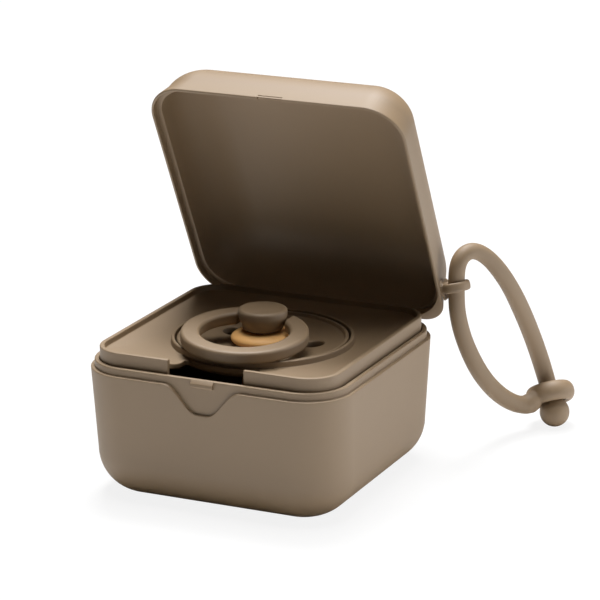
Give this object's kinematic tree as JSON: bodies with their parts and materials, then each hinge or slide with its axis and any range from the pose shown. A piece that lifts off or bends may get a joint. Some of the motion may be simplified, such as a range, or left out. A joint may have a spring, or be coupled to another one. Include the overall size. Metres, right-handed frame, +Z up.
{
  "type": "pacifier box",
  "caption": "Rounded square travel box with a hinged domed lid, a tray insert that holds a pacifier in a round collar, and a round strap on a lug of the lid.",
  "frame": {"origin": "middle of the box's flat foot, on the surface that it stands on", "axes": "+Z up, -Y to the front with the thumb recess, +X to the side that carries the lug"},
  "size_m": [0.0965, 0.1092, 0.1019],
  "materials": {
    "shell_plastic": "matt taupe moulded plastic",
    "pacifier_plastic": "matt taupe moulded plastic",
    "strap_silicone": "matt taupe silicone",
    "teat_latex": "smooth natural latex",
    "pin_steel": "plain steel pin"
  },
  "bodies": {
    "base": {"base_shell": "shell_plastic", "hinge_pin": "pin_steel", "tray_insert": "shell_plastic"},
    "lid": {"lid_shell": "shell_plastic", "strap_cord": "strap_silicone", "strap_eyelet": "strap_silicone", "strap_ball": "strap_silicone"},
    "pacifier": {"pacifier_shield": "pacifier_plastic", "pacifier_nipple": "teat_latex", "pacifier_knob": "pacifier_plastic"},
    "ring": {"pacifier_ring": "pacifier_plastic"}
  },
  "joints": [
    {"name": "lid_hinge", "type": "hinge", "parent": "base", "child": "lid", "pos_m": [0, 0.0371, 0.0335], "axis": [-1, 0, 0], "range_deg": [-63.3, 36.7]},
    {"name": "pacifier_turn", "type": "hinge", "parent": "base", "child": "pacifier", "pos_m": [0, 0, 0.0346], "axis": [0, 0, 1], "continuous": true},
    {"name": "ring_hinge", "type": "hinge", "parent": "pacifier", "child": "ring", "pos_m": [0, 0.0018, 0.04145], "axis": [-1, 0, 0], "range_deg": [0, 180]}
  ]
}
